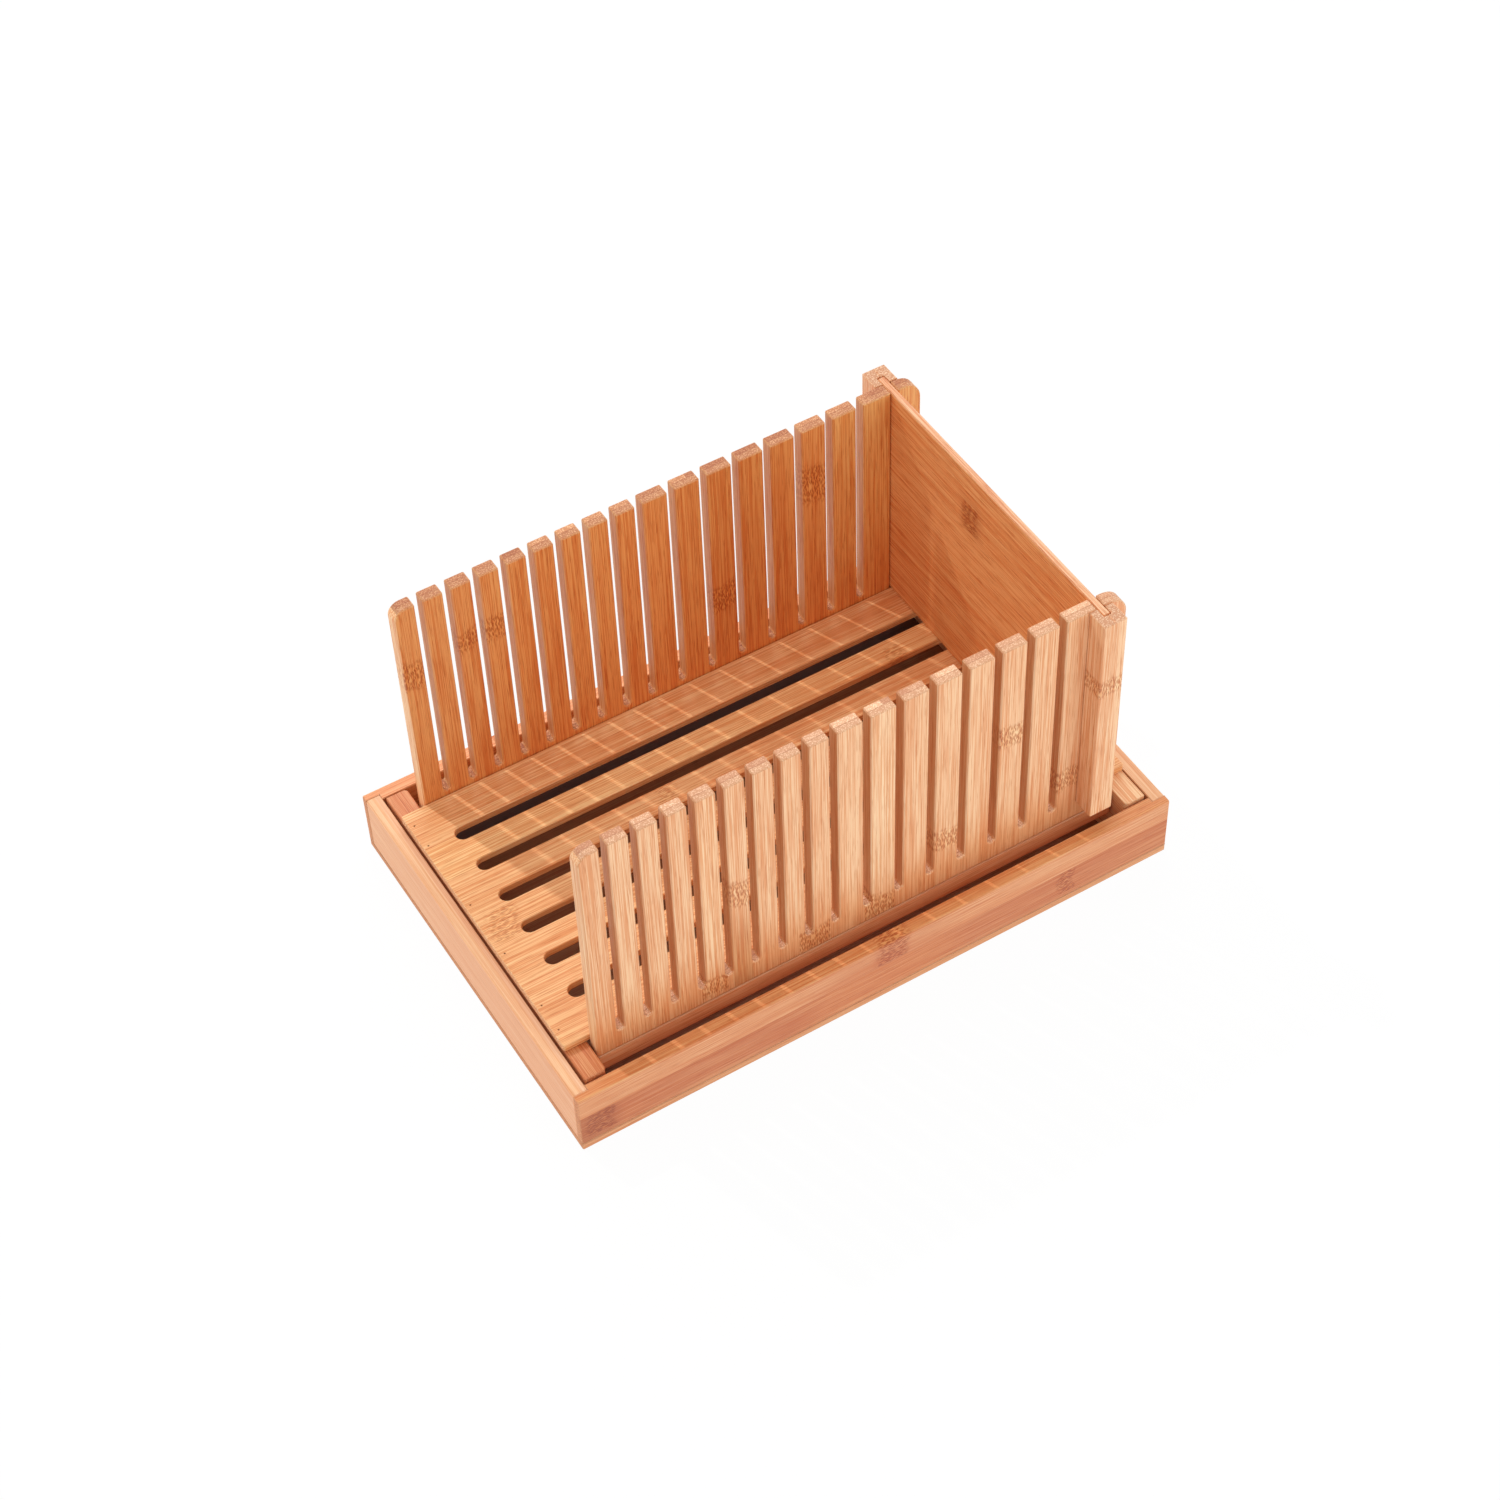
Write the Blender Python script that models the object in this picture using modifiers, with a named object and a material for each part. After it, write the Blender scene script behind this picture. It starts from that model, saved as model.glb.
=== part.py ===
"""A bamboo bread slicing guide: a crumb tray, a slotted board on two battens that lifts out of it,
two upright side guides with knife slots, and a back stop that slides down between them.

X runs from the front (-) to the back (+), Y from the near side (-) to the far side (+), Z up.
The origin is the middle of the tray's underside. Lengths are in metres.
"""

from math import cos, pi, radians, sin

import bmesh
import bpy
from mathutils import Matrix, Vector

# Tray
TRAY_LENGTH = 0.340
TRAY_WIDTH = 0.223
TRAY_HEIGHT = 0.0387
TRAY_WALL = 0.0077
FLOOR_THICKNESS = 0.0046
# How far a short wall runs into the rabbet of a long one
LAP_DEPTH = 0.0036
RIM_RADIUS = 0.0012

# Slotted board and the battens under its ends
BOARD_THICKNESS = 0.0045
BOARD_END_GAP = 0.0007
BOARD_CORNER_RADIUS = 0.0015
CRUMB_SLOT_COUNT = 6
CRUMB_SLOT_WIDTH = 0.0084
CRUMB_SLOT_PITCH = 0.0230
CRUMB_SLOT_END_MARGIN = 0.0173
BATTEN_HEIGHT = 0.0350
BATTEN_THICKNESS = 0.0117
BATTEN_INSET = 0.0006
BATTEN_SIDE_GAP = 0.0014
# How far a batten's end stands out past the board's edge
EAR_REACH = 0.0188
EAR_CORNER_RADIUS = 0.0022

# Side guides
GUIDE_THICKNESS = 0.0077
GUIDE_RISE = 0.1388
GUIDE_END_GAP = 0.0014
FRONT_CORNER_RADIUS = 0.0065
REAR_CORNER_RADIUS = 0.0110
FRONT_TINE = 0.0112
KNIFE_SLOT_WIDTH = 0.0043
KNIFE_SLOT_FLOOR = 0.0030
NARROW_PITCH = 0.01495
NARROW_STEPS = 8
WIDE_PITCH = 0.0181
LEAST_LAST_TINE = 0.0112
END_TINE = 0.0134
# The rail glued under each guide, which the hinge pins enter
FOOT_DROP = 0.0091
FOOT_HEIGHT = 0.0130
FOOT_PROUD = 0.0004
FOOT_RADIUS = 0.0030

# Posts on the guides' outer faces, and the back stop that they hold
POST_WIDTH = 0.0131
POST_DEPTH = 0.0121
POST_RIM_CLEARANCE = 0.0083
STOP_THICKNESS = 0.0038
STOP_BITE = 0.0048
STOP_TOP_STEP = 0.0003
GROOVE_END_CLEARANCE = 0.0006
GROOVE_FLOOR_CLEARANCE = 0.0018

# Hinge pins and brads
PIN_RADIUS = 0.00175
PIN_REACH = 0.0110
PIN_HEAD_RADIUS = 0.0030
PIN_HEAD_THICKNESS = 0.0010
BRAD_RADIUS = 0.0005
BRAD_LENGTH = 0.0180
BRAD_SINK = 0.0002
BRAD_INSET = 0.0030
# Places of the brads along a batten, as shares of half the board's width
BRAD_PLACE_SHARES = (-0.88, -0.68, -0.24, 0.18, 0.71, 0.89)

# Fits and finish
JOINT_GAP = 0.0003
ARRIS = 0.0004
TINE_ARRIS = 0.0006
CUT_OVERRUN = 0.0020
WIDE_ARC_STEPS = 8
SMALL_ARC_STEPS = 4
SLOT_ARC_STEPS = 8
PIN_SIDES = 16
BRAD_SIDES = 8

# Levels, from the table up
FLOOR_TOP = FLOOR_THICKNESS
WALL_BOTTOM = FLOOR_TOP + JOINT_GAP
BATTEN_BOTTOM = FLOOR_TOP + JOINT_GAP
BATTEN_TOP = BATTEN_BOTTOM + BATTEN_HEIGHT
BOARD_BOTTOM = BATTEN_TOP + JOINT_GAP
BOARD_TOP = BOARD_BOTTOM + BOARD_THICKNESS
GUIDE_TOP = BOARD_TOP + GUIDE_RISE
GUIDE_BOTTOM = BOARD_TOP - FOOT_DROP
FOOT_TOP = GUIDE_BOTTOM - JOINT_GAP
FOOT_BOTTOM = FOOT_TOP - FOOT_HEIGHT
HINGE_LEVEL = (FOOT_TOP + FOOT_BOTTOM) / 2
POST_BOTTOM = TRAY_HEIGHT + POST_RIM_CLEARANCE

# Places along X, from the middle to an end
INNER_END = TRAY_LENGTH / 2 - TRAY_WALL
BOARD_END = INNER_END - BOARD_END_GAP
BATTEN_OUTER = BOARD_END - BATTEN_INSET
BATTEN_INNER = BATTEN_OUTER - BATTEN_THICKNESS
GUIDE_END = BATTEN_INNER - GUIDE_END_GAP
CRUMB_SLOT_END = BOARD_END - CRUMB_SLOT_END_MARGIN
GROOVE_REAR = GUIDE_END - END_TINE
GROOVE_FRONT = GROOVE_REAR - STOP_THICKNESS - 2 * JOINT_GAP
GROOVE_MIDDLE = (GROOVE_FRONT + GROOVE_REAR) / 2
BRAD_PLACE_X = BOARD_END - BRAD_INSET

# Places along Y, from the middle to a side
INNER_SIDE = TRAY_WIDTH / 2 - TRAY_WALL
BATTEN_SIDE = INNER_SIDE - BATTEN_SIDE_GAP
BOARD_SIDE = BATTEN_SIDE - EAR_REACH
GUIDE_INNER = BOARD_SIDE + JOINT_GAP
GUIDE_OUTER = GUIDE_INNER + GUIDE_THICKNESS
HINGE_SIDE = (GUIDE_INNER + GUIDE_OUTER) / 2
POST_INNER = GUIDE_OUTER + JOINT_GAP
POST_OUTER = POST_INNER + POST_DEPTH
STOP_END = POST_INNER + STOP_BITE
GROOVE_END = STOP_END + GROOVE_END_CLEARANCE

PARTS = "bread_slicing_guide"
CUTTERS = "bread_slicing_guide_cutters"
SIDES = (("near", -1), ("far", 1))
ENDS = (("front", -1), ("back", 1))

# Linear colours of the bamboo and of the steel
HONEY = (0.66, 0.33, 0.13)
PALE_HONEY = (0.80, 0.47, 0.23)
RED_HONEY = (0.52, 0.22, 0.09)
STEEL = (0.56, 0.55, 0.53)
DARK_STEEL = (0.16, 0.10, 0.06)
WOOD_ROUGHNESS = 0.55
STEEL_ROUGHNESS = 0.35


def clear_scene():
    """Removes what the startup scene holds, and makes the collections."""
    for obj in list(bpy.data.objects):
        bpy.data.objects.remove(obj, do_unlink=True)
    for name in (PARTS, CUTTERS):
        collection = bpy.data.collections.new(name)
        bpy.context.scene.collection.children.link(collection)


def material(name, colour, roughness, metallic=0.0):
    """A Principled material of one colour."""
    made = bpy.data.materials.new(name)
    made.use_nodes = True
    shader = made.node_tree.nodes["Principled BSDF"]
    shader.inputs["Base Color"].default_value = (*colour, 1.0)
    shader.inputs["Roughness"].default_value = roughness
    shader.inputs["Metallic"].default_value = metallic
    return made


def pivot(name, place, parent=None):
    """An empty on a joint's axis, which the moving pieces hang from."""
    empty = bpy.data.objects.new(name, None)
    bpy.data.collections[PARTS].objects.link(empty)
    empty.empty_display_size = GUIDE_THICKNESS
    empty.location = place
    if parent:
        empty.parent = parent
        empty.location = Vector(place) - parent.matrix_world.translation
    bpy.context.view_layer.update()
    return empty


def add_piece(name, mesh, place, parent, colour, metallic=0.0):
    """Puts a mesh in the scene at a place in the world, under its pivot."""
    roughness = STEEL_ROUGHNESS if metallic else WOOD_ROUGHNESS
    mesh.materials.append(material(name + "_finish", colour, roughness, metallic))
    obj = bpy.data.objects.new(name, mesh)
    bpy.data.collections[PARTS].objects.link(obj)
    obj.location = place
    if parent:
        obj.parent = parent
        obj.location = Vector(place) - parent.matrix_world.translation
    bpy.context.view_layer.update()
    return obj


def add_cutter(name, mesh, place, target):
    """Cuts the mesh, at a place in the world, out of the target."""
    cutter = bpy.data.objects.new(name, mesh)
    bpy.data.collections[CUTTERS].objects.link(cutter)
    cutter.parent = target
    cutter.location = Vector(place) - target.matrix_world.translation
    cutter.hide_render = True
    cutter.display_type = "WIRE"
    boolean = target.modifiers.new(name, "BOOLEAN")
    boolean.operation = "DIFFERENCE"
    boolean.solver = "EXACT"
    boolean.object = cutter
    bpy.context.view_layer.update()


def ease_edges(obj, width, segments=1):
    """Rounds every sharp edge a little."""
    bevel = obj.modifiers.new("eased_edges", "BEVEL")
    bevel.width = width
    bevel.segments = segments
    bevel.limit_method = "ANGLE"
    bevel.angle_limit = radians(50)
    bevel.use_clamp_overlap = False


def even_triangles(obj):
    """Splits the broad faces into even triangles, with no slivers along their openings."""
    split = obj.modifiers.new("even_triangles", "TRIANGULATE")
    split.ngon_method = "BEAUTY"


def block_mesh(name, size):
    """A box of this size about its middle."""
    mesh = bpy.data.meshes.new(name)
    work = bmesh.new()
    bmesh.ops.create_cube(work, size=1)
    bmesh.ops.scale(work, vec=size, verts=work.verts)
    work.to_mesh(mesh)
    work.free()
    return mesh


def rod_mesh(name, places, radius, length, sides, axis):
    """Round rods of one size about the places, each along the axis."""
    turn = Vector((0, 0, 1)).rotation_difference(Vector(axis)).to_matrix().to_4x4()
    mesh = bpy.data.meshes.new(name)
    work = bmesh.new()
    for place in places:
        bmesh.ops.create_cone(
            work,
            cap_ends=True,
            segments=sides,
            radius1=radius,
            radius2=radius,
            depth=length,
            matrix=Matrix.Translation(place) @ turn,
        )
    work.to_mesh(mesh)
    work.free()
    return mesh


def arc(middle, radius, start, end, steps=SLOT_ARC_STEPS):
    """Points on a round stretch, from one angle to another in degrees."""
    points = []
    for step in range(steps + 1):
        angle = radians(start + (end - start) * step / steps)
        points.append((middle[0] + radius * cos(angle), middle[1] + radius * sin(angle)))
    return points


def rounded_rectangle(low, high, radii):
    """The outline of a rectangle; radii go round from the low corner, the way a clock runs backwards."""
    corners = (
        ((low[0], low[1]), (1, 1), 180),
        ((high[0], low[1]), (-1, 1), 270),
        ((high[0], high[1]), (-1, -1), 0),
        ((low[0], high[1]), (1, -1), 90),
    )
    points = []
    for (corner, inward, start), radius in zip(corners, radii):
        if radius:
            middle = (corner[0] + inward[0] * radius, corner[1] + inward[1] * radius)
            points += arc(middle, radius, start, start + 90, SMALL_ARC_STEPS)
        else:
            points.append(corner)
    return points


def plate_mesh(name, outlines, thickness, turn):
    """A flat outline, with its openings, given a thickness about its plane and then turned."""
    flat = bpy.data.curves.new(name + "_outline", "CURVE")
    flat.dimensions = "2D"
    flat.fill_mode = "BOTH"
    flat.extrude = thickness / 2
    for points in outlines:
        spline = flat.splines.new("POLY")
        spline.points.add(len(points) - 1)
        for point, (x, y) in zip(spline.points, points):
            point.co = (x, y, 0, 1)
        spline.use_cyclic_u = True
    helper = bpy.data.objects.new(name + "_outline", flat)
    bpy.context.scene.collection.objects.link(helper)
    graph = bpy.context.evaluated_depsgraph_get()
    mesh = bpy.data.meshes.new_from_object(helper.evaluated_get(graph))
    bpy.data.objects.remove(helper, do_unlink=True)
    mesh.name = name
    work = bmesh.new()
    work.from_mesh(mesh)
    bmesh.ops.remove_doubles(work, verts=work.verts, dist=JOINT_GAP / 30)
    bmesh.ops.dissolve_limit(work, angle_limit=radians(1), verts=work.verts, edges=work.edges)
    bmesh.ops.transform(work, matrix=turn, verts=work.verts)
    bmesh.ops.recalc_face_normals(work, faces=work.faces)
    work.to_mesh(mesh)
    work.free()
    return mesh


# An outline drawn in XY lies flat, in XZ it stands along the part, and in YZ it stands across it
FLAT = Matrix.Identity(4)
ALONG = Matrix.Rotation(pi / 2, 4, "X")
ACROSS = Matrix(((0, 0, 1, 0), (1, 0, 0, 0), (0, 1, 0, 0), (0, 0, 0, 1)))


def turned_pin_mesh(name, end):
    """A hinge pin: a shank with a flat head, turned about X, with its head at the outer end."""
    shank_end = GUIDE_END - PIN_REACH
    head_outer = BATTEN_OUTER - JOINT_GAP
    head_inner = head_outer - PIN_HEAD_THICKNESS
    outline = [
        (head_outer, 0),
        (head_outer, PIN_HEAD_RADIUS),
        (head_inner, PIN_HEAD_RADIUS),
        (head_inner, PIN_RADIUS),
        (shank_end + PIN_RADIUS / 2, PIN_RADIUS),
        (shank_end, PIN_RADIUS / 2),
        (shank_end, 0),
    ]
    mesh = bpy.data.meshes.new(name)
    work = bmesh.new()
    points = [work.verts.new((end * x, 0, r)) for x, r in outline]
    edges = [work.edges.new(pair) for pair in zip(points, points[1:])]
    bmesh.ops.spin(
        work,
        geom=points + edges,
        axis=(1, 0, 0),
        cent=(0, 0, 0),
        angle=2 * pi,
        steps=PIN_SIDES,
        use_merge=True,
    )
    bmesh.ops.remove_doubles(work, verts=work.verts, dist=JOINT_GAP / 30)
    bmesh.ops.recalc_face_normals(work, faces=work.faces)
    work.to_mesh(mesh)
    work.free()
    return mesh


def make_tray():
    """Floor under four walls; the short walls' ends sit in rabbets of the long ones."""
    floor = add_piece(
        "tray_floor",
        block_mesh("tray_floor", (TRAY_LENGTH, TRAY_WIDTH, FLOOR_THICKNESS)),
        (0, 0, FLOOR_THICKNESS / 2),
        None,
        PALE_HONEY,
    )
    ease_edges(floor, ARRIS)
    rabbet_length = TRAY_WALL + JOINT_GAP
    rabbet_height = TRAY_HEIGHT + 2 * CUT_OVERRUN
    for name, side in SIDES:
        outer = side * TRAY_WIDTH / 2
        inner = side * INNER_SIDE
        radii = (0, 0, RIM_RADIUS, 0) if side > 0 else (0, 0, 0, RIM_RADIUS)
        low = (min(inner, outer), WALL_BOTTOM)
        high = (max(inner, outer), TRAY_HEIGHT)
        profile = rounded_rectangle(low, high, radii)
        node = "tray_wall_" + name
        mesh = plate_mesh(node, [profile], TRAY_LENGTH, ACROSS)
        wall = add_piece(node, mesh, (0, 0, 0), None, RED_HONEY if side < 0 else HONEY)
        ease_edges(wall, ARRIS)
        for end_name, end in ENDS:
            size = (rabbet_length + CUT_OVERRUN, LAP_DEPTH + CUT_OVERRUN, rabbet_height)
            middle = (
                end * (TRAY_LENGTH / 2 + (CUT_OVERRUN - rabbet_length) / 2),
                side * (INNER_SIDE + (LAP_DEPTH - CUT_OVERRUN) / 2),
                TRAY_HEIGHT / 2,
            )
            add_cutter("rabbet_" + end_name, block_mesh(node + "_rabbet", size), middle, wall)
    short_length = 2 * (INNER_SIDE + LAP_DEPTH - JOINT_GAP)
    for name, end in ENDS:
        outer = end * TRAY_LENGTH / 2
        inner = end * INNER_END
        radii = (0, 0, RIM_RADIUS, 0) if end > 0 else (0, 0, 0, RIM_RADIUS)
        low = (min(inner, outer), WALL_BOTTOM)
        high = (max(inner, outer), TRAY_HEIGHT)
        profile = rounded_rectangle(low, high, radii)
        node = "tray_wall_" + name
        mesh = plate_mesh(node, [profile], short_length, ALONG)
        wall = add_piece(node, mesh, (0, 0, 0), None, PALE_HONEY if end < 0 else HONEY)
        ease_edges(wall, ARRIS)


def make_board(base):
    """The thin board with its crumb slots and the brads' holes."""
    outlines = [
        rounded_rectangle(
            (-BOARD_END, -BOARD_SIDE), (BOARD_END, BOARD_SIDE), (BOARD_CORNER_RADIUS,) * 4
        )
    ]
    for index in range(CRUMB_SLOT_COUNT):
        middle = (index - (CRUMB_SLOT_COUNT - 1) / 2) * CRUMB_SLOT_PITCH
        radius = CRUMB_SLOT_WIDTH / 2
        straight = CRUMB_SLOT_END - radius
        slot = arc((straight, middle), radius, -90, 90) + arc((-straight, middle), radius, 90, 270)
        outlines.append(slot)
    mesh = plate_mesh("slotted_board", outlines, BOARD_THICKNESS, FLAT)
    middle = (0, 0, (BOARD_BOTTOM + BOARD_TOP) / 2)
    board = add_piece("slotted_board", mesh, middle, base, HONEY)
    ease_edges(board, ARRIS)
    length = BOARD_THICKNESS + 2 * CUT_OVERRUN
    holes = rod_mesh(
        "brad_holes", brad_places(0), BRAD_RADIUS + JOINT_GAP, length, BRAD_SIDES, (0, 0, 1)
    )
    add_cutter("brad_holes", holes, middle, board)
    even_triangles(board)


def brad_places(level):
    """The places of the brads, a row over each batten."""
    return [
        (end * BRAD_PLACE_X, share * BOARD_SIDE, level)
        for _, end in ENDS
        for share in BRAD_PLACE_SHARES
    ]


def make_brads(base):
    """Headless brads that hold the board to the battens."""
    level = BOARD_TOP - BRAD_SINK - BRAD_LENGTH / 2
    for number, place in enumerate(brad_places(level), 1):
        node = "board_brad_" + str(number)
        mesh = rod_mesh(node, [(0, 0, 0)], BRAD_RADIUS, BRAD_LENGTH, BRAD_SIDES, (0, 0, 1))
        add_piece(node, mesh, place, base, DARK_STEEL, 1.0)


def make_battens(base):
    """A batten under each end of the board; its ends stand out as the guides' ears."""
    depth = BOARD_TOP - BRAD_SINK - BRAD_LENGTH - JOINT_GAP
    for name, end in ENDS:
        node = "batten_" + name
        inner = end * BATTEN_INNER
        outer = end * BATTEN_OUTER
        rounding = EAR_CORNER_RADIUS
        outline = rounded_rectangle(
            (min(inner, outer), -BATTEN_SIDE),
            (max(inner, outer), BATTEN_SIDE),
            (0, rounding, rounding, 0) if end < 0 else (rounding, 0, 0, rounding),
        )
        mesh = plate_mesh(node, [outline], BATTEN_HEIGHT, FLAT)
        middle = (BATTEN_BOTTOM + BATTEN_TOP) / 2
        batten = add_piece(node, mesh, (0, 0, middle), base, HONEY)
        ease_edges(batten, ARRIS)
        hole_top = BATTEN_TOP + CUT_OVERRUN
        places = [
            (end * BRAD_PLACE_X, share * BOARD_SIDE, (depth + hole_top) / 2)
            for share in BRAD_PLACE_SHARES
        ]
        holes = rod_mesh(
            node + "_brad_holes",
            places,
            BRAD_RADIUS + JOINT_GAP,
            hole_top - depth,
            BRAD_SIDES,
            (0, 0, 1),
        )
        add_cutter(node + "_brad_holes", holes, (0, 0, 0), batten)
        places = [
            (end * (BATTEN_INNER + BATTEN_OUTER) / 2, side * HINGE_SIDE, HINGE_LEVEL)
            for _, side in SIDES
        ]
        bores = rod_mesh(
            node + "_pin_bores",
            places,
            PIN_RADIUS + JOINT_GAP,
            BATTEN_THICKNESS + 2 * CUT_OVERRUN,
            PIN_SIDES,
            (1, 0, 0),
        )
        add_cutter(node + "_pin_bores", bores, (0, 0, 0), batten)
        seat_depth = PIN_HEAD_THICKNESS + 2 * JOINT_GAP
        places = [
            (end * (BATTEN_OUTER - (seat_depth - CUT_OVERRUN) / 2), side * HINGE_SIDE, HINGE_LEVEL)
            for _, side in SIDES
        ]
        seats = rod_mesh(
            node + "_pin_seats",
            places,
            PIN_HEAD_RADIUS + JOINT_GAP,
            seat_depth + CUT_OVERRUN,
            PIN_SIDES,
            (1, 0, 0),
        )
        add_cutter(node + "_pin_seats", seats, (0, 0, 0), batten)
        even_triangles(batten)


def make_hinge_pins(base):
    """Four pins, pressed through the ears from outside, that the guides turn on."""
    for name, side in SIDES:
        for end_name, end in ENDS:
            node = "hinge_pin_" + name + "_" + end_name
            place = (0, side * HINGE_SIDE, HINGE_LEVEL)
            add_piece(node, turned_pin_mesh(node, end), place, base, STEEL, 1.0)


def knife_slot_starts():
    """The front edges of the knife slots, close together first and then further apart."""
    starts = []
    start = -GUIDE_END + FRONT_TINE
    while start + KNIFE_SLOT_WIDTH + LEAST_LAST_TINE <= GROOVE_FRONT:
        starts.append(start)
        start += NARROW_PITCH if len(starts) <= NARROW_STEPS else WIDE_PITCH
    return starts


def guide_outline():
    """A comb: a solid foot, tines with knife slots between them, and the back stop's groove."""
    bottom = GUIDE_BOTTOM - HINGE_LEVEL
    top = GUIDE_TOP - HINGE_LEVEL
    board = BOARD_TOP - HINGE_LEVEL
    points = [(-GUIDE_END, bottom), (GUIDE_END, bottom)]
    middle = (GUIDE_END - REAR_CORNER_RADIUS, top - REAR_CORNER_RADIUS)
    points += arc(middle, REAR_CORNER_RADIUS, 0, 90, WIDE_ARC_STEPS)
    groove_floor = board - GROOVE_FLOOR_CLEARANCE
    points += [
        (GROOVE_REAR, top),
        (GROOVE_REAR, groove_floor),
        (GROOVE_FRONT, groove_floor),
        (GROOVE_FRONT, top),
    ]
    radius = KNIFE_SLOT_WIDTH / 2
    level = board + KNIFE_SLOT_FLOOR + radius
    for start in reversed(knife_slot_starts()):
        points.append((start + KNIFE_SLOT_WIDTH, top))
        points += arc((start + radius, level), radius, 0, -180)
        points.append((start, top))
    middle = (-GUIDE_END + FRONT_CORNER_RADIUS, top - FRONT_CORNER_RADIUS)
    points += arc(middle, FRONT_CORNER_RADIUS, 90, 180, WIDE_ARC_STEPS)
    return points


def make_foot(node, side, hinge):
    """The rail under a guide, rounded below so that it can turn, with a bore for a pin at each end."""
    inner = side * (GUIDE_INNER - HINGE_SIDE)
    outer = side * (GUIDE_OUTER + FOOT_PROUD - HINGE_SIDE)
    profile = rounded_rectangle(
        (min(inner, outer), FOOT_BOTTOM - HINGE_LEVEL),
        (max(inner, outer), FOOT_TOP - HINGE_LEVEL),
        (FOOT_RADIUS, FOOT_RADIUS, 0, 0),
    )
    mesh = plate_mesh(node, [profile], 2 * GUIDE_END, ACROSS)
    foot = add_piece(node, mesh, (0, side * HINGE_SIDE, HINGE_LEVEL), hinge, RED_HONEY)
    ease_edges(foot, ARRIS)
    bore_depth = PIN_REACH + JOINT_GAP
    places = [(end * (GUIDE_END - (bore_depth - CUT_OVERRUN) / 2), 0, 0) for _, end in ENDS]
    bores = rod_mesh(
        node + "_bores",
        places,
        PIN_RADIUS + JOINT_GAP,
        bore_depth + CUT_OVERRUN,
        PIN_SIDES,
        (1, 0, 0),
    )
    add_cutter(node + "_bores", bores, (0, side * HINGE_SIDE, HINGE_LEVEL), foot)


def post_strip_outline(side, end):
    """Half of a post in plan: an L round one side of the back stop's groove."""
    seam = end * JOINT_GAP / 2
    groove = end * (GROOVE_REAR - GROOVE_FRONT) / 2
    outer = end * POST_WIDTH / 2
    inner_face = POST_INNER - HINGE_SIDE
    groove_end = GROOVE_END - HINGE_SIDE
    outer_face = POST_OUTER - HINGE_SIDE
    places = [
        (groove, inner_face),
        (outer, inner_face),
        (outer, outer_face),
        (seam, outer_face),
        (seam, groove_end),
        (groove, groove_end),
    ]
    return [(x, side * y) for x, y in places]


def make_guide(name, side, base):
    """A side guide on its hinge: the comb, the rail under it and the post behind."""
    hinge = pivot("hinge_" + name, (0, side * HINGE_SIDE, HINGE_LEVEL), base)
    place = (0, side * HINGE_SIDE, HINGE_LEVEL)
    node = "guide_comb_" + name
    mesh = plate_mesh(node, [guide_outline()], GUIDE_THICKNESS, ALONG)
    comb = add_piece(node, mesh, place, hinge, PALE_HONEY if side < 0 else HONEY)
    ease_edges(comb, TINE_ARRIS)
    even_triangles(comb)
    make_foot("guide_foot_" + name, side, hinge)
    height = GUIDE_TOP - POST_BOTTOM
    for end_name, end in ENDS:
        node = "guide_post_" + name + "_" + end_name
        mesh = plate_mesh(node, [post_strip_outline(side, end)], height, FLAT)
        middle = (GROOVE_MIDDLE, side * HINGE_SIDE, (GUIDE_TOP + POST_BOTTOM) / 2)
        strip = add_piece(node, mesh, middle, hinge, PALE_HONEY)
        ease_edges(strip, ARRIS)


def make_back_stop(base):
    """The thin panel that drops into the guides' grooves and rests on the board."""
    low = BOARD_TOP + JOINT_GAP
    high = GUIDE_TOP - STOP_TOP_STEP
    slide = pivot("slide_back_stop", (GROOVE_MIDDLE, 0, low), base)
    mesh = block_mesh("back_stop", (STOP_THICKNESS, 2 * STOP_END, high - low))
    stop = add_piece("back_stop", mesh, (GROOVE_MIDDLE, 0, (low + high) / 2), slide, HONEY)
    ease_edges(stop, ARRIS)


def main():
    clear_scene()
    make_tray()
    base = pivot("lift_base", (0, 0, BATTEN_BOTTOM))
    make_board(base)
    make_battens(base)
    make_brads(base)
    make_hinge_pins(base)
    for name, side in SIDES:
        make_guide(name, side, base)
    make_back_stop(base)


main()
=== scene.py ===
"""The looks of a bamboo bread slicing guide: laminated bamboo with its fibres, nodes and end grain,
steel pins and brads, soft studio light and a camera at the photograph's angle.

X runs from the front (-) to the back (+), Y from the near side (-) to the far side (+), Z up.
Lengths are in metres.
"""

from math import atan2, cos, radians, sin

import bmesh
import bpy
from mathutils import Matrix, Vector


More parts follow.
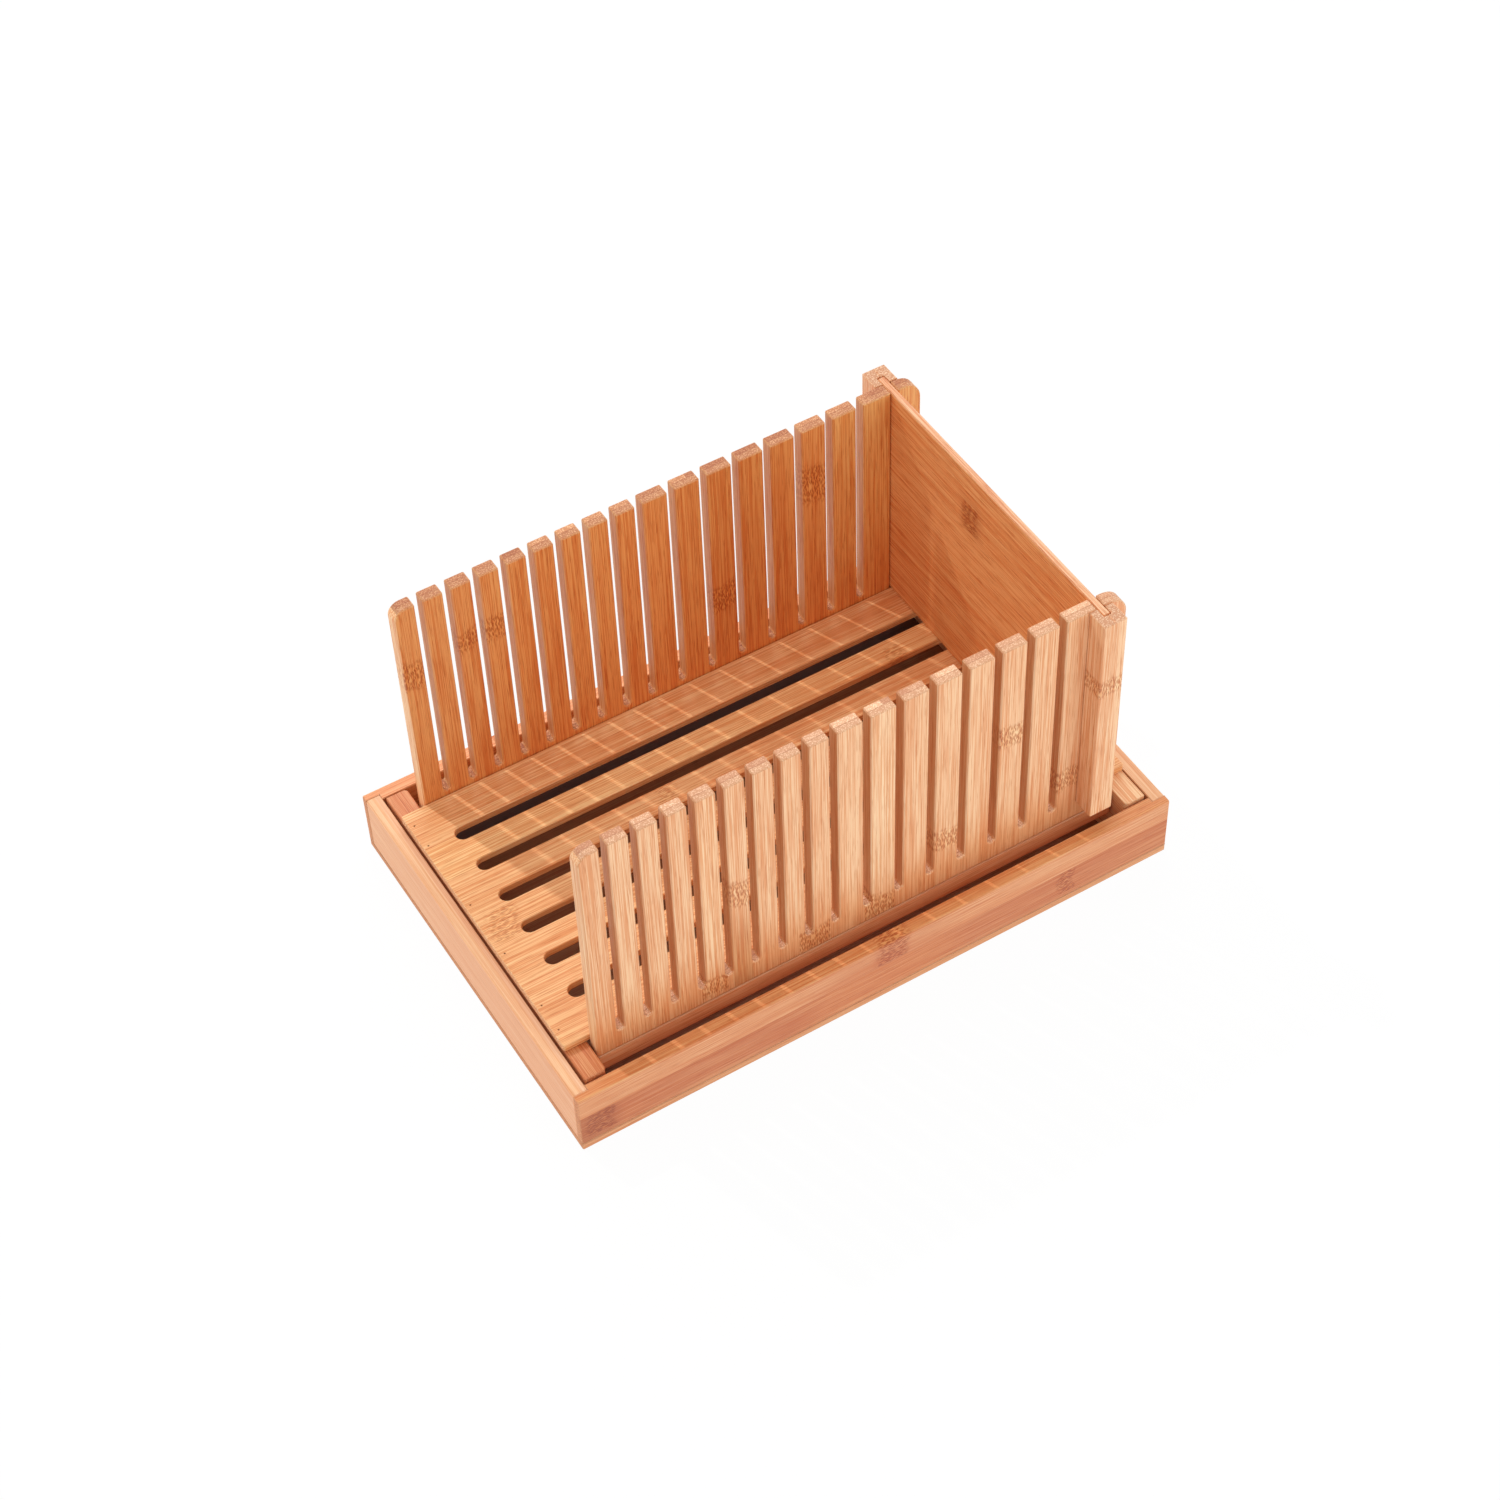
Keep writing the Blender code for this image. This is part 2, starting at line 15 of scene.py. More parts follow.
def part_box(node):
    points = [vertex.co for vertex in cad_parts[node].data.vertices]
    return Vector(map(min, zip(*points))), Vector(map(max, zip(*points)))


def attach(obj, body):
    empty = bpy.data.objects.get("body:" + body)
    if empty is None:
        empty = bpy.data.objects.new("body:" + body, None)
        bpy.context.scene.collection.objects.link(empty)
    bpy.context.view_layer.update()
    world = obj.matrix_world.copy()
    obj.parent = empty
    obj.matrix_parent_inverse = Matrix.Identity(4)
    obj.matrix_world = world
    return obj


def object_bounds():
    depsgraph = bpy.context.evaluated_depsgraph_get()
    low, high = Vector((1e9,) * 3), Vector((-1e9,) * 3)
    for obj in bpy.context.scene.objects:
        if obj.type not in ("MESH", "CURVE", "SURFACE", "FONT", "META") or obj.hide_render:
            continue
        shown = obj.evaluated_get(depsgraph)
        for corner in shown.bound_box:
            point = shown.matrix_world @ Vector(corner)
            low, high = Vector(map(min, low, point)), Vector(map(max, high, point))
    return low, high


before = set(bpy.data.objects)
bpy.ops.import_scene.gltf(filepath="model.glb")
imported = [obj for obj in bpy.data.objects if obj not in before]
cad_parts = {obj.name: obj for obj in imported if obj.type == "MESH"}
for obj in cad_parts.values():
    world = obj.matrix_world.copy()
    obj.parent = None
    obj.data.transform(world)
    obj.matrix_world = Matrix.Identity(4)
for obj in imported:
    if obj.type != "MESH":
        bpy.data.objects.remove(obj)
CAD_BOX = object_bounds()

# Camera, fitted to the photograph's 1500 by 1500 frame
CAMERA_PLACE = Vector((-0.5097, -0.8908, 1.2603))
CAMERA_AZIMUTH = -29.4526
CAMERA_ELEVATION = 49.0874
CAMERA_ROLL = -2.5316
CAMERA_LENS = 76.13
CAMERA_SENSOR = 36.0
CLIP_START = 0.05
CLIP_END = 50.0

# Light levels, where 1 is the plain level at which a colour renders as it is written
SKY_LEVEL = 0.66
FLOOR_LEVEL = 0.958
WHITE = (1.0, 1.0, 1.0)

# Softboxes: name, place, width and watts. The first is small and far off, so that it throws sharp
# stripes of light through the slots
SOFTBOXES = (
    ("key", (-0.82, 2.20, 2.90), 0.075, 41.0),
    ("top", (0.0, 0.0, 1.892), 1.6, 4.0),
    ("right", (1.041, -1.488, 0.835), 1.6, 8.4),
    ("back", (0.728, 1.455, 1.256), 1.6, 12.0),
)

# The floor: its width, its distance below the tray, and how much of its white is its own
FLOOR_SIZE = 12.0
FLOOR_DROP = 0.0004
FLOOR_GLOW = 0.96

# Bump depth of the wood's fibres, and how strongly it shows
FIBRE_DEPTH = 0.00025
BUMP_STRENGTH = 0.6

# Streaks along the grain: their thickness and length
BROAD_STREAKS = (0.0100, 0.350)
MEDIUM_STREAKS = (0.0013, 0.150)
FINE_STREAKS = (0.00050, 0.050)
DASHES = (0.00045, 0.0120)

# How far strips and streaks move the wood's tone between its palest and its deepest
STRIP_WEIGHT = 0.20
BROAD_WEIGHT = 0.9
MEDIUM_WEIGHT = 0.8
FINE_WEIGHT = 3.4

# Size of a fleck inside a node, across and along the grain, and how far the fibres swirl there
FLECK_WIDTH = 0.00074
FLECK_LENGTH = 0.0034
SWIRL_REACH = 0.0016

# Size of a fibre bundle in the end grain, across the strips and through them
BUNDLE_WIDTH = 0.00086
BUNDLE_DEPTH = 0.00072

# What each feature multiplies the wood's tone by, and how strongly it does so
PALEST = (1.06, 1.26, 1.42)
DEEPEST = (0.88, 0.70, 0.57)
DASH_TINT, DASH_SHARE = (0.78, 0.58, 0.44), 0.55
SEAM_TINT, SEAM_SHARE = (0.66, 0.46, 0.32), 0.30
KNOT_TINT, KNOT_SHARE = (0.90, 0.76, 0.62), 0.45
ARC_TINT, ARC_SHARE = (0.74, 0.52, 0.38), 0.40
DARK_FLECK_TINT, DARK_FLECK_SHARE = (0.66, 0.43, 0.28), 0.90
PALE_FLECK_TINT, PALE_FLECK_SHARE = (1.10, 1.30, 1.36), 0.85
EDGE_TINT, EDGE_SHARE = (1.05, 1.16, 1.26), 0.30
END_PALE = (1.05, 1.10, 1.12)
END_DEEP = (0.90, 0.84, 0.80)
BUNDLE_TINT = (1.20, 1.36, 1.47)
BETWEEN_TINT = (0.70, 0.49, 0.375)
BUNDLE_SHARE = 0.50
PLY_PALE = (1.30, 1.44, 1.52)
PLY_DEEP = (0.82, 0.66, 0.60)
PLY_LINE_TINT = (0.62, 0.42, 0.32)
PLY_LINE_SHARE = 0.60

# A node's outline: how softly it ends across its strip, how far its middle bows along the grain, and
# how ragged its two other sides are
KNOT_EDGE = 0.0006
KNOT_BOW = 0.008
KNOT_RAGS = 0.8

# Fineness of noises in waves per metre, across and along the grain
RAG_WAVES = (900.0, 60.0)
SWIRL_WAVES = (300.0, 330.0)
SMUDGE_WAVES = (240.0, 420.0)
BOW_WAVES = 90.0
UNEVEN_GLUE_WAVES = (450.0,) * 3
SCRATCH_WAVES = (300.0, 2500.0, 2500.0)

# Roughness of the wood's sides, and what streaks, end grain and worn edges change in it
ROUGHNESS = 0.40
STREAK_ROUGHNESS = 0.20
END_ROUGHNESS = 0.14
EDGE_ROUGHNESS = 0.08

# What dried glue and drawn steel do to their tone where it is deepest
GLUE_DEEPEST = 0.72
STEEL_DEEPEST = 0.7

# Glue lines: their distance from the wood, how far they lie back from its surface, and the spacing
# of the points along their edges
GLUE_GAP = 0.00002
GLUE_BACK = 0.00005
GLUE_STEP = 0.006

# The slight waves along the edge of glue and filler, in radians: from one point to the next, and from
# one side to the next
WAVE_TURN = 7.3
WAVE_START = 2.1

# How deep a glue line's waves are, as a share of how far the line lies back from the wood
WAVE_DEPTH = 1.6

# Width of the eased edges beside a post's seam, which its filler covers
SEAM_ARRIS = 0.0004

# Room round a brad in its hole, and how deep its filler goes
BRAD_ROOM = 0.0003
FILLER_DEPTH = 0.0010

# An angle beyond this, in radians, is the same corner of a brad as half a turn the other way
NEAR_HALF_TURN = 3.13

# Room in a post beyond the back stop's end, and beside its faces
GROOVE_END_CLEARANCE = 0.0006
GROOVE_SIDE_CLEARANCE = 0.0003


class Graph:
    """Short calls for building a node tree."""

    def __init__(self, tree):
        self.tree = tree

    def put(self, socket, value):
        """Links a socket to an input, or sets the input's value."""
        if isinstance(value, bpy.types.NodeSocket):
            self.tree.links.new(value, socket)
        elif value is not None:
            socket.default_value = value

    def node(self, kind, *values, out=0, **settings):
        """Adds a node, fills its inputs in order, and returns one of its outputs."""
        made = self.tree.nodes.new("ShaderNode" + kind)
        for name, value in settings.items():
            setattr(made, name, value)
        for socket, value in zip(made.inputs, values):
            self.put(socket, value)
        return made.outputs[out]

    def math(self, operation, *values, clamp=False):
        return self.node("Math", *values, operation=operation, use_clamp=clamp)

    def plus(self, a, b):
        return self.math("ADD", a, b)

    def minus(self, a, b):
        return self.math("SUBTRACT", a, b)

    def times(self, a, b, clamp=False):
        return self.math("MULTIPLY", a, b, clamp=clamp)

    def ramp(self, value, low, high, to_low=0.0, to_high=1.0):
        """Smooth step of a value from one range to another."""
        return self.node(
            "MapRange", value, low, high, to_low, to_high, interpolation_type="SMOOTHSTEP"
        )

    def vector(self, x, y, z):
        return self.node("CombineXYZ", x, y, z)

    def mix(self, share, a, b, blend="MIX"):
        """Mixes two colours."""
        made = self.tree.nodes.new("ShaderNodeMix")
        made.data_type = "RGBA"
        made.blend_type = blend
        self.put(made.inputs[0], share)
        self.put(made.inputs[6], a)
        self.put(made.inputs[7], b)
        return made.outputs[2]

    def waves(self, across, along, fineness, layer):
        """A place in a noise that is finer or coarser across and along the grain."""
        return self.vector(self.times(across, fineness[0]), self.times(along, fineness[1]), layer)

    def tint(self, share, base, colour):
        """Multiplies a colour by a tint, as far as share says."""
        return self.mix(share, base, shade(colour), "MULTIPLY")

    def cells(self, place, dimensions="3D"):
        """Distance from the middle of the nearest cell of one unit's size."""
        made = self.tree.nodes.new("ShaderNodeTexVoronoi")
        made.voronoi_dimensions = dimensions
        made.inputs["Scale"].default_value = 1.0
        self.put(made.inputs["Vector"], place)
        return made.outputs["Distance"]

    def seen_white(self):
        """1 where the camera sees the surface, itself or in a gloss or through glass."""
        paths = self.tree.nodes.new("ShaderNodeLightPath")
        seen = self.math("MAXIMUM", paths.outputs["Is Camera Ray"], paths.outputs["Is Glossy Ray"])
        return self.math("MAXIMUM", seen, paths.outputs["Is Transmission Ray"])

    def noise(self, place, detail=2.0, roughness=0.5):
        """Noise of one unit's size at a place, from 0 to 1."""
        made = self.tree.nodes.new("ShaderNodeTexNoise")
        made.noise_dimensions = "3D"
        self.put(made.inputs["Vector"], place)
        made.inputs["Scale"].default_value = 1.0
        made.inputs["Detail"].default_value = detail
        made.inputs["Roughness"].default_value = roughness
        return made.outputs["Fac"]


def shade(colour):
    """A colour with full alpha."""
    return (*colour, 1.0)


def new_group(name, inputs, outputs):
    """An empty node group with the inputs and outputs that it is to have."""
    tree = bpy.data.node_groups.new(name, "ShaderNodeTree")
    for label, kind in inputs:
        tree.interface.new_socket(label, in_out="INPUT", socket_type="NodeSocket" + kind)
    for label, kind in outputs:
        tree.interface.new_socket(label, in_out="OUTPUT", socket_type="NodeSocket" + kind)
    given = tree.nodes.new("NodeGroupInput")
    result = tree.nodes.new("NodeGroupOutput")
    return Graph(tree), given.outputs, result.inputs


def knot_group():
    """A node of the culm: a ragged band across a strip, with a darker arc at one end."""
    inputs = [
        ("Along", "Float"),
        ("Across", "Float"),
        ("Centre", "Float"),
        ("Half", "Float"),
        ("Low", "Float"),
        ("High", "Float"),
    ]
    outputs = [("Mask", "Float"), ("Arc", "Float")]
    graph, given, result = new_group("knot", inputs, outputs)
    along, across = given["Along"], given["Across"]
    ragged = graph.noise(graph.waves(across, along, RAG_WAVES, 3.1))
    ragged = graph.times(graph.minus(ragged, 0.5), KNOT_RAGS)
    bow = graph.noise(graph.vector(graph.times(across, BOW_WAVES), 7.7, given["Centre"]), 0.0)
    centre = graph.plus(given["Centre"], graph.times(graph.minus(bow, 0.5), KNOT_BOW))
    reach = graph.math("ABSOLUTE", graph.minus(along, centre))
    reach = graph.plus(graph.math("DIVIDE", reach, given["Half"]), ragged)
    inside = graph.times(
        graph.ramp(across, given["Low"], graph.plus(given["Low"], KNOT_EDGE)),
        graph.ramp(across, graph.minus(given["High"], KNOT_EDGE), given["High"], 1.0, 0.0),
    )
    band = graph.ramp(reach, 0.60, 1.15, 1.0, 0.0)
    arc = graph.times(graph.ramp(reach, 0.45, 0.80), graph.ramp(reach, 0.85, 1.15, 1.0, 0.0))
    arc = graph.times(arc, graph.ramp(graph.minus(along, centre), 0.0, 0.001))
    graph.put(result["Mask"], graph.times(band, inside))
    graph.put(result["Arc"], graph.times(arc, inside))
    return graph.tree


def bamboo_group():
    """Laminated bamboo: strips of unlike tone, fibres along them, nodes, and end grain."""
    inputs = [
        ("Along", "Float"),
        ("Across", "Float"),
        ("Depth", "Float"),
        ("End", "Float"),
        ("Knot", "Float"),
        ("Arc", "Float"),
        ("Edge", "Float"),
        ("Seed", "Float"),
        ("Strip Width", "Float"),
        ("Strip First", "Float"),
        ("Ply", "Float"),
        ("Contrast", "Float"),
        ("Tone", "Color"),
        ("End Tone", "Color"),
    ]
    outputs = [("Colour", "Color"), ("Roughness", "Float"), ("Height", "Float")]
    graph, given, result = new_group("bamboo", inputs, outputs)
    along, across, depth = given["Along"], given["Across"], given["Depth"]
    seed, knot, end = given["Seed"], given["Knot"], given["End"]

    place = graph.math("DIVIDE", graph.minus(across, given["Strip First"]), given["Strip Width"])
    strip = graph.math("FLOOR", place)
    chance = graph.node("TexWhiteNoise", graph.vector(strip, seed, 0.5), noise_dimensions="3D")
    shift = graph.plus(graph.times(chance, 37.0), seed)
    seam = graph.math("ABSOLUTE", graph.minus(graph.math("FRACT", place), 0.5))
    seam = graph.ramp(seam, 0.482, 0.5)

    swirl = graph.noise(graph.waves(across, along, SWIRL_WAVES, shift))
    swirl = graph.times(graph.times(graph.minus(swirl, 0.5), knot), SWIRL_REACH)
    across = graph.plus(across, swirl)

    def streaks(thickness, length):
        """Noise drawn out along the grain."""
        place = graph.vector(
            graph.math("DIVIDE", across, thickness),
            graph.math("DIVIDE", depth, thickness),
            graph.plus(graph.math("DIVIDE", along, length), shift),
        )
        return graph.noise(place, 1.0, 0.55)

    broad = streaks(*BROAD_STREAKS)
    medium = streaks(*MEDIUM_STREAKS)
    fine = streaks(*FINE_STREAKS)
    dash = graph.ramp(streaks(*DASHES), 0.56, 0.70)

    spread = graph.times(graph.minus(chance, 0.5), STRIP_WEIGHT)
    spread = graph.plus(spread, graph.times(graph.minus(broad, 0.5), BROAD_WEIGHT))
    spread = graph.plus(spread, graph.times(graph.minus(medium, 0.5), MEDIUM_WEIGHT))
    spread = graph.plus(spread, graph.times(graph.minus(fine, 0.5), FINE_WEIGHT))
    spread = graph.math("ADD", graph.times(spread, given["Contrast"]), 0.5, clamp=True)
    fibre_tint = graph.mix(spread, shade(PALEST), shade(DEEPEST))
    side = graph.mix(1.0, given["Tone"], fibre_tint, "MULTIPLY")
    dash_share = graph.times(graph.times(dash, DASH_SHARE), given["Contrast"], clamp=True)
    side = graph.tint(dash_share, side, DASH_TINT)
    side = graph.tint(graph.times(seam, SEAM_SHARE), side, SEAM_TINT)

    # Inside a node the fibres break up into short dark flecks, with pale ones between them
    fleck_place = graph.vector(
        graph.math("DIVIDE", graph.plus(across, graph.times(depth, 0.8)), FLECK_WIDTH),
        graph.plus(graph.math("DIVIDE", along, FLECK_LENGTH), shift),
        0.0,
    )
    fleck = graph.cells(fleck_place, "2D")
    dark_fleck = graph.times(graph.ramp(fleck, 0.24, 0.46, 1.0, 0.0), knot)
    pale_fleck = graph.times(graph.ramp(fleck, 0.46, 0.62), knot)
    smudge = graph.noise(graph.waves(across, along, SMUDGE_WAVES, graph.plus(shift, 5.0)))
    arc = graph.times(given["Arc"], graph.ramp(smudge, 0.42, 0.58))
    side = graph.tint(graph.times(knot, KNOT_SHARE), side, KNOT_TINT)
    side = graph.tint(graph.times(arc, ARC_SHARE), side, ARC_TINT)
    side = graph.tint(graph.times(dark_fleck, DARK_FLECK_SHARE), side, DARK_FLECK_TINT)
    side = graph.tint(graph.times(pale_fleck, PALE_FLECK_SHARE), side, PALE_FLECK_TINT)

    # Fibre bundles cut across: pale dots close together, with brown between them
    bundle_place = graph.vector(
        graph.math("DIVIDE", across, BUNDLE_WIDTH),
        graph.math("DIVIDE", depth, BUNDLE_DEPTH),
        graph.plus(graph.math("DIVIDE", along, 0.02), shift),
    )
    between = graph.ramp(graph.cells(bundle_place), 0.22, 0.55)
    cut = graph.mix(broad, shade(END_PALE), shade(END_DEEP))
    cut = graph.mix(1.0, given["End Tone"], cut, "MULTIPLY")
    # Where a board has two plies, each strip of the second one has a tone of its own
    past = graph.minus(depth, given["Ply"])
    other = graph.node("TexWhiteNoise", graph.vector(strip, seed, 9.5), noise_dimensions="3D")
    ply = graph.mix(other, shade(PLY_PALE), shade(PLY_DEEP))
    cut = graph.mix(graph.ramp(past, 0.0, 0.0002), cut, ply, "MULTIPLY")
    line = graph.ramp(graph.math("ABSOLUTE", past), 0.00012, 0.00035, 1.0, 0.0)
    cut = graph.tint(graph.times(line, PLY_LINE_SHARE), cut, PLY_LINE_TINT)
    bundle_tint = graph.mix(between, shade(BUNDLE_TINT), shade(BETWEEN_TINT))
    bundle_share = graph.times(BUNDLE_SHARE, given["Contrast"], clamp=True)
    cut = graph.mix(bundle_share, cut, bundle_tint, "MULTIPLY")
    whole = graph.mix(end, side, cut)
    whole = graph.tint(graph.times(given["Edge"], EDGE_SHARE), whole, EDGE_TINT)
    graph.put(result["Colour"], whole)

    rough = graph.plus(ROUGHNESS, graph.times(medium, STREAK_ROUGHNESS))
    rough = graph.plus(rough, graph.times(end, END_ROUGHNESS))
    rough = graph.minus(rough, graph.times(given["Edge"], EDGE_ROUGHNESS))
    graph.put(result["Roughness"], rough)

    height = graph.plus(graph.times(medium, 0.5), graph.times(fine, 0.5))
    height = graph.minus(height, graph.times(dash, 0.25))
    height = graph.minus(height, graph.times(dark_fleck, 0.35))
    height = graph.minus(height, graph.times(graph.times(between, end), 0.35))
    graph.put(result["Height"], height)
    return graph.tree


KNOT_GROUP = knot_group()
BAMBOO_GROUP = bamboo_group()

# Which object axes run along the grain, across the strips and through the piece
UPRIGHT = ("Z", "X", "Y")
LENGTHWISE = ("X", "Z", "Y")
LENGTHWISE_FLAT = ("X", "Y", "Z")
CROSSWISE = ("Y", "Z", "X")
CROSSWISE_FLAT = ("Y", "X", "Z")


class Zone:
    """A tone for part of a piece: the sides that face one way, a span along some axes, or both.

    A side is an axis with its sign, or an axis alone for both its ways. A span is (axis, from, to,
    softness) in metres, and None leaves an end open.
    """

    def __init__(self, tone, side=None, *spans, share=1.0):
        self.tone = tone
        self.side = side
        self.spans = spans
        self.share = share

    def mask(self, graph, place, facing):
        mask = self.share
        if self.side:
            towards = facing.outputs[self.side[-1]]
            if len(self.side) == 1:
                towards = graph.math("ABSOLUTE", towards)
            elif self.side[0] == "-":
                towards = graph.times(towards, -1.0)
            mask = graph.times(mask, graph.ramp(towards, 0.50, 0.85))
        for axis, low, high, soft in self.spans:
            at = place.outputs[axis]
            if low is not None:
                mask = graph.times(mask, graph.ramp(at, low - soft, low + soft))
            if high is not None:
                mask = graph.times(mask, graph.ramp(at, high - soft, high + soft, 1.0, 0.0))
        return mask


class Finish:
    """What one wooden piece looks like, with lengths in metres.

    Its strips are strip wide, and first is one of their edges. A second ply starts at ply, which lies
    outside the piece where it has none. A knot is (along, half length, low, high).
    """

    def __init__(
        self, grain, tone, seed, contrast, end=None,
        strip=0.0165, first=0.0, ply=1.0, zones=(), knots=(), knot_share=1.0,
    ):
        self.grain = grain
        self.tone = tone
        self.seed = seed
        self.contrast = contrast
        self.end = end or tone
        self.strip = strip
        self.first = first
        self.ply = ply
        self.zones = zones
        self.knots = knots
        self.knot_share = knot_share


def bamboo(name, finish):
    """A Principled material of bamboo."""
    material = bpy.data.materials.new(name)
    material.use_nodes = True
    graph = Graph(material.node_tree)
    shader = material.node_tree.nodes["Principled BSDF"]
    place = graph.tree.nodes.new("ShaderNodeSeparateXYZ")
    graph.put(place.inputs[0], graph.node("TexCoord", out=3))
    facing = graph.tree.nodes.new("ShaderNodeSeparateXYZ")
    graph.put(facing.inputs[0], graph.node("TexCoord", out=1))
    along, across, depth = (place.outputs[axis] for axis in finish.grain)
    end = graph.math("ABSOLUTE", facing.outputs[finish.grain[0]])
    end = graph.ramp(end, 0.60, 0.85)
    squarest = graph.math("ABSOLUTE", facing.outputs["X"])
    for axis in "YZ":
        squarest = graph.math("MAXIMUM", squarest, graph.math("ABSOLUTE", facing.outputs[axis]))
    edge = graph.ramp(squarest, 0.86, 0.97, 1.0, 0.0)

    knot = 0.0
    arc = 0.0
    for centre, half, low, high in finish.knots:
        made = graph.tree.nodes.new("ShaderNodeGroup")
        made.node_tree = KNOT_GROUP
        graph.put(made.inputs["Along"], along)
        graph.put(made.inputs["Across"], across)
        made.inputs["Centre"].default_value = centre
        made.inputs["Half"].default_value = half
        made.inputs["Low"].default_value = low
        made.inputs["High"].default_value = high
        knot = graph.math("MAXIMUM", knot, made.outputs["Mask"])
        arc = graph.math("MAXIMUM", arc, made.outputs["Arc"])

    tone = shade(finish.tone)
    for zone in finish.zones:
        tone = graph.mix(zone.mask(graph, place, facing), tone, shade(zone.tone))

    wood = graph.tree.nodes.new("ShaderNodeGroup")
    wood.node_tree = BAMBOO_GROUP
    graph.put(wood.inputs["Along"], along)
    graph.put(wood.inputs["Across"], across)
    graph.put(wood.inputs["Depth"], depth)
    graph.put(wood.inputs["End"], end)
    if finish.knots:
        graph.put(wood.inputs["Knot"], graph.times(knot, finish.knot_share))
        graph.put(wood.inputs["Arc"], graph.times(arc, finish.knot_share))
    graph.put(wood.inputs["Edge"], edge)
    graph.put(wood.inputs["Tone"], tone)
    wood.inputs["Seed"].default_value = finish.seed
    wood.inputs["Strip Width"].default_value = finish.strip
    wood.inputs["Strip First"].default_value = finish.first
    wood.inputs["Ply"].default_value = finish.ply
    wood.inputs["Contrast"].default_value = finish.contrast
    wood.inputs["End Tone"].default_value = shade(finish.end)

    bump = graph.tree.nodes.new("ShaderNodeBump")
    bump.inputs["Strength"].default_value = BUMP_STRENGTH
    bump.inputs["Distance"].default_value = FIBRE_DEPTH
    graph.put(bump.inputs["Height"], wood.outputs["Height"])
    graph.put(shader.inputs["Base Color"], wood.outputs["Colour"])
    graph.put(shader.inputs["Roughness"], wood.outputs["Roughness"])
    graph.put(shader.inputs["Normal"], bump.outputs["Normal"])
    return material


def steel(name, colour, roughness):
    """Plain drawn steel with fine scratches along it."""
    material = bpy.data.materials.new(name)
    material.use_nodes = True
    graph = Graph(material.node_tree)
    shader = material.node_tree.nodes["Principled BSDF"]
    place = graph.node("TexCoord", out=3)
    stretch = graph.node("VectorMath", place, SCRATCH_WAVES, operation="MULTIPLY")
    scratch = graph.noise(stretch)
    tint = graph.mix(scratch, shade(colour), shade([STEEL_DEEPEST * c for c in colour]))
    graph.put(shader.inputs["Base Color"], tint)
    graph.put(shader.inputs["Roughness"], graph.ramp(scratch, 0.3, 0.7, roughness, roughness + 0.2))
    shader.inputs["Metallic"].default_value = 1.0
    return material


# Tones, as linear colours
PEACH = (0.965, 0.510, 0.257)
# Partly painted shade: a guide's inner face is this warm orange partly for its wood and partly for the
# shade between the guides
SHADED_ORANGE = (0.83, 0.310, 0.083)
# Partly painted shade: the near guide's slot walls are this deep red partly for the sawn wood and
# partly for the shade inside the slots
SLOT_WALL_SHADE_RED = (0.67, 0.295, 0.122)
END_PEACH = (0.80, 0.470, 0.280)
END_BROWN = (0.65, 0.310, 0.148)
POST = (0.87, 0.445, 0.222)
POST_FACE = (0.97, 0.520, 0.268)
POST_END = (0.76, 0.450, 0.272)
# Painted shade: the tray floor's top inside the tray is this dark brown for the shade there
TRAY_INSIDE_SHADE = (0.42, 0.170, 0.070)
TRAY_GLUE = (0.80, 0.40, 0.19)
GUIDE_GLUE = (0.74, 0.330, 0.145)
PIN_STEEL = (0.56, 0.55, 0.53)
BRAD_STEEL = (0.36, 0.15, 0.065)

# How far from the middle the two plies of a comb's board meet
PLY_PLACE = 0.0878


def foot_finish(seed):
    """A guide's foot rail, darker along its top under the comb."""
    return Finish(
        LENGTHWISE, (0.99, 0.430, 0.185), seed, 1.0, strip=0.014, first=0.022,
        zones=(Zone((0.66, 0.270, 0.115), None, ("Z", 0.0348, None, 0.0002)),),
    )


def post_finish(seed, knot):
    """A post's strip. Both strips of a post share its seed and node, so that they read as one."""
    return Finish(
        UPRIGHT, POST, seed, 1.5, end=POST_END, strip=0.02, first=0.12,
        zones=(Zone(POST_FACE, "Y"),),
        knots=((knot, 0.006, 0.120, 0.140),),
    )


def comb_zones(outer, inner):
    """A guide's tones: a pale outer face with painted shade deepening it to its foot, and a warm inner
    face whose orange is partly the wood's tone and partly painted shade, with more painted shade low
    down; the slots keep the piece's base tone.
    """
    return (
        Zone(PEACH, outer),
        # Painted shade: the outer face darkens towards its foot, where the tray's wall shades it
        Zone((0.89, 0.380, 0.155), outer, ("Z", None, 0.062, 0.022)),
        # Partly painted shade: the inner face's warm orange is partly the wood's tone and partly the
        # shade between the guides
        Zone(SHADED_ORANGE, inner),
        Zone((0.84, 0.330, 0.100), inner, ("X", None, -0.100, 0.030)),
        Zone((0.75, 0.272, 0.068), inner, ("X", 0.010, 0.075, 0.025)),
        Zone((0.89, 0.440, 0.138), inner, ("X", 0.090, None, 0.020)),
        # Painted shade: the inner face darkens further towards its foot
        Zone((0.78, 0.275, 0.070), inner, ("Z", None, 0.075, 0.030), share=0.6),
    )


# The two strips that a tray wall is glued up from, as spans
LOWER_STRIP = ("Z", None, 0.0245, 0.0003)
UPPER_STRIP = ("Z", 0.0245, None, 0.0003)

